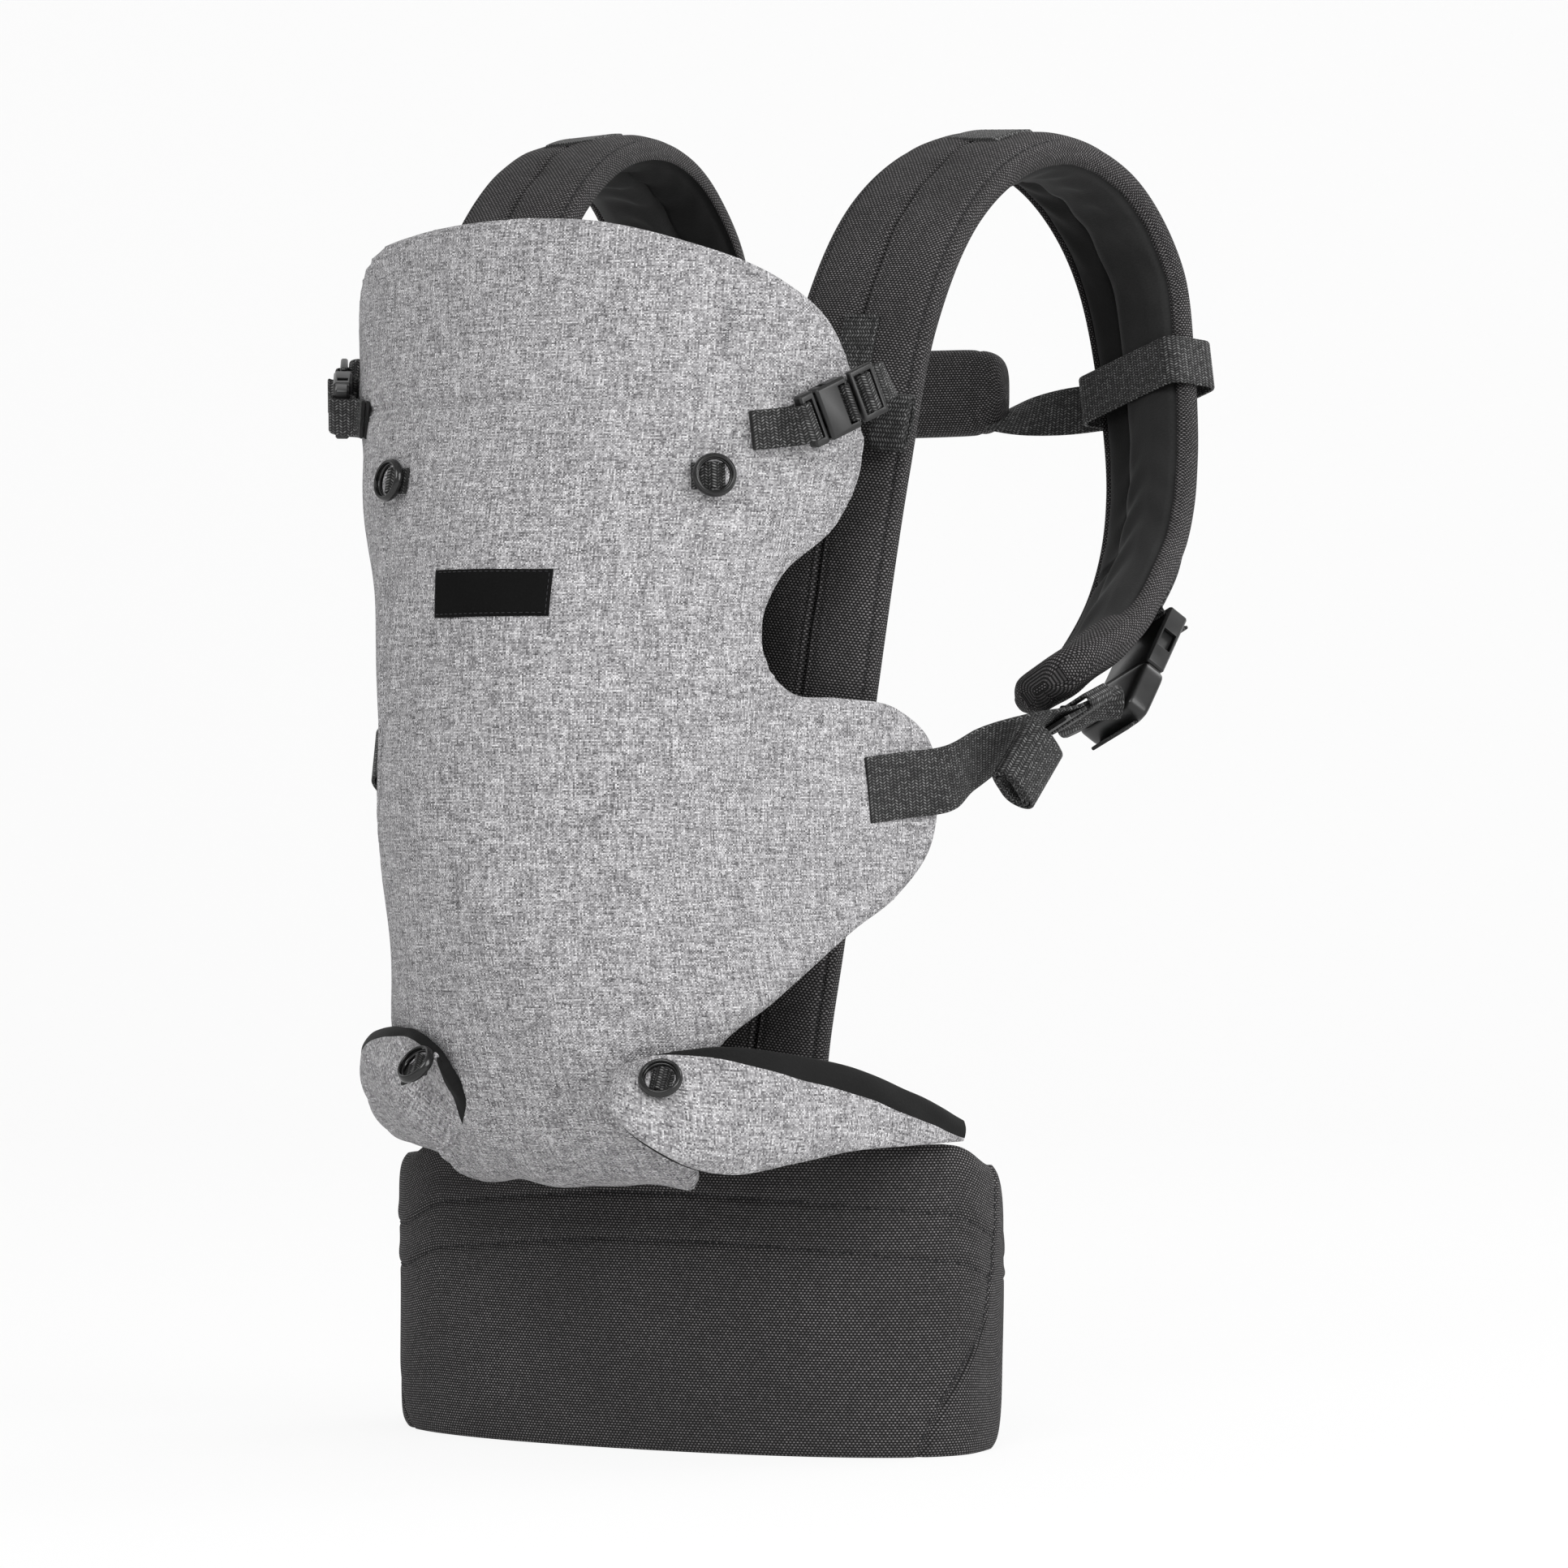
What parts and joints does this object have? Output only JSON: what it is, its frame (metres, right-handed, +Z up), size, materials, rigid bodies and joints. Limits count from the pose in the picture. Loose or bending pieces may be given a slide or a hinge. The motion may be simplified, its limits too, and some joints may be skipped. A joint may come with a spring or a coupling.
{
  "type": "soft baby carrier",
  "caption": "Soft front baby carrier posed as worn: padded hip belt, curved front panel with fold-down head support, leg flaps, padded shoulder straps, side buckles and back strap.",
  "frame": {"origin": "floor point under the middle of the carrier's bounding box", "axes": "+Z up, the front panel faces -Y, the wearer's left and right are along X"},
  "size_m": [0.3896, 0.4624, 0.646],
  "materials": {
    "heather_cloth": "light grey heather weave",
    "canvas": "charcoal canvas",
    "lining": "black knit lining",
    "foam": "padding inside the covers",
    "label": "bare black label",
    "webbing": "black ribbed webbing",
    "ring_plastic": "gloss black",
    "buckle_plastic": "semi-gloss black"
  },
  "bodies": {
    "carrier": {"front_panel_cover": "heather_cloth", "front_panel_lining": "lining", "label_patch": "label", "belt_padding": "foam", "belt_cover": "canvas", "belt_lining": "lining", "shoulder_padding_right": "foam", "shoulder_cover_right": "canvas", "shoulder_lining_right": "lining", "shoulder_patch_right": "webbing", "chest_tab_right": "webbing", "chest_socket_right": "buckle_plastic", "chest_adjuster_right": "buckle_plastic", "chest_anchor_right": "webbing", "chest_tail_right": "webbing", "hip_webbing_right": "webbing", "hip_lead_right": "webbing", "hip_guide_right": "webbing", "hip_tail_right": "webbing", "rear_socket_right": "buckle_plastic", "rear_anchor_right": "webbing", "belt_webbing_right": "webbing", "shoulder_padding_left": "foam", "shoulder_cover_left": "canvas", "shoulder_lining_left": "lining", "shoulder_patch_left": "webbing", "chest_tab_left": "webbing", "chest_socket_left": "buckle_plastic", "chest_adjuster_left": "buckle_plastic", "chest_anchor_left": "webbing", "chest_tail_left": "webbing", "hip_webbing_left": "webbing", "hip_lead_left": "webbing", "hip_guide_left": "webbing", "hip_tail_left": "webbing", "rear_socket_left": "buckle_plastic", "rear_anchor_left": "webbing", "belt_webbing_left": "webbing", "belt_socket": "buckle_plastic"},
    "head_middle": {"head_support_middle": "heather_cloth"},
    "head_right": {"head_support_right": "heather_cloth"},
    "head_left": {"head_support_left": "heather_cloth"},
    "belt_clip": {"belt_prongs": "buckle_plastic"},
    "back_strap": {"back_pad": "canvas", "back_loop_right": "webbing", "back_loop_left": "webbing"},
    "flap_right": {"leg_flap_right": "heather_cloth"},
    "ring_upper_right": {"ring_button_upper_right": "ring_plastic", "ring_tape_upper_right": "webbing"},
    "ring_lower_right": {"ring_button_lower_right": "ring_plastic", "ring_tape_lower_right": "webbing"},
    "chest_clip_right": {"chest_prongs_right": "buckle_plastic"},
    "rear_clip_right": {"rear_prongs_right": "buckle_plastic"},
    "flap_left": {"leg_flap_left": "heather_cloth"},
    "ring_upper_left": {"ring_button_upper_left": "ring_plastic", "ring_tape_upper_left": "webbing"},
    "ring_lower_left": {"ring_button_lower_left": "ring_plastic", "ring_tape_lower_left": "webbing"},
    "chest_clip_left": {"chest_prongs_left": "buckle_plastic"},
    "rear_clip_left": {"rear_prongs_left": "buckle_plastic"}
  },
  "joints": [
    {"name": "head_fold", "type": "hinge", "parent": "carrier", "child": "head_middle", "pos_m": [0, -0.20589, 0.49134], "axis": [1, 0, 0], "range_deg": [0, 150]},
    {"name": "head_fold_right", "type": "hinge", "parent": "carrier", "child": "head_right", "pos_m": [0.07279, -0.18646, 0.49112], "axis": [0.8665, 0.4992, 0], "range_deg": [0, 150]},
    {"name": "head_fold_left", "type": "hinge", "parent": "carrier", "child": "head_left", "pos_m": [-0.07279, -0.18646, 0.49112], "axis": [0.8665, -0.4992, 0], "range_deg": [0, 150]},
    {"name": "leg_flap_open_right", "type": "hinge", "parent": "carrier", "child": "flap_right", "pos_m": [0.15, -0.05, 0.1525], "axis": [0, 0, 1], "range_deg": [0, 60]},
    {"name": "ring_tilt_upper_right", "type": "hinge", "parent": "carrier", "child": "ring_upper_right", "pos_m": [0.08571, -0.18959, 0.45539], "axis": [0.065, -0.0813, -0.9946], "range_deg": [0, 30]},
    {"name": "ring_tilt_lower_right", "type": "hinge", "parent": "flap_right", "child": "ring_lower_right", "pos_m": [0.06705, -0.20654, 0.18306], "axis": [0.0974, -0.596, -0.7971], "range_deg": [0, 30]},
    {"name": "chest_release_right", "type": "slide", "parent": "carrier", "child": "chest_clip_right", "axis": [-0.4457, -0.7951, -0.4114], "range_m": [0, 0.014], "deforming": ["chest_tab_right"]},
    {"name": "rear_release_right", "type": "slide", "parent": "carrier", "child": "rear_clip_right", "axis": [-0.0501, -0.6808, -0.7308], "range_m": [0, 0.03], "deforming": ["hip_lead_right"]},
    {"name": "leg_flap_open_left", "type": "hinge", "parent": "carrier", "child": "flap_left", "pos_m": [-0.15, -0.05, 0.1525], "axis": [0, 0, -1], "range_deg": [0, 60]},
    {"name": "ring_tilt_upper_left", "type": "hinge", "parent": "carrier", "child": "ring_upper_left", "pos_m": [-0.05962, -0.20593, 0.45599], "axis": [0.0768, 0.1592, 0.9843], "range_deg": [0, 30]},
    {"name": "ring_tilt_lower_left", "type": "hinge", "parent": "flap_left", "child": "ring_lower_left", "pos_m": [-0.05742, -0.21068, 0.18254], "axis": [0.1844, -0.6845, -0.7053], "range_deg": [0, 30]},
    {"name": "chest_release_left", "type": "slide", "parent": "carrier", "child": "chest_clip_left", "axis": [0.4605, -0.787, -0.4106], "range_m": [0, 0.014], "deforming": ["chest_tab_left"]},
    {"name": "rear_release_left", "type": "slide", "parent": "carrier", "child": "rear_clip_left", "axis": [0.0501, -0.6808, -0.7308], "range_m": [0, 0.03], "deforming": ["hip_lead_left"]},
    {"name": "belt_release", "type": "slide", "parent": "carrier", "child": "belt_clip", "axis": [-1, 0, 0], "range_m": [0, 0.034], "deforming": ["belt_webbing_left"]},
    {"name": "back_strap_slide", "type": "slide", "parent": "carrier", "child": "back_strap", "axis": [0, -0.1876, -0.9822], "range_m": [-0.01, 0.0025]}
  ],
  "couplings": [
    {"joint": "head_fold_right", "follows": "head_fold", "ratio": 1},
    {"joint": "head_fold_left", "follows": "head_fold", "ratio": 1}
  ]
}
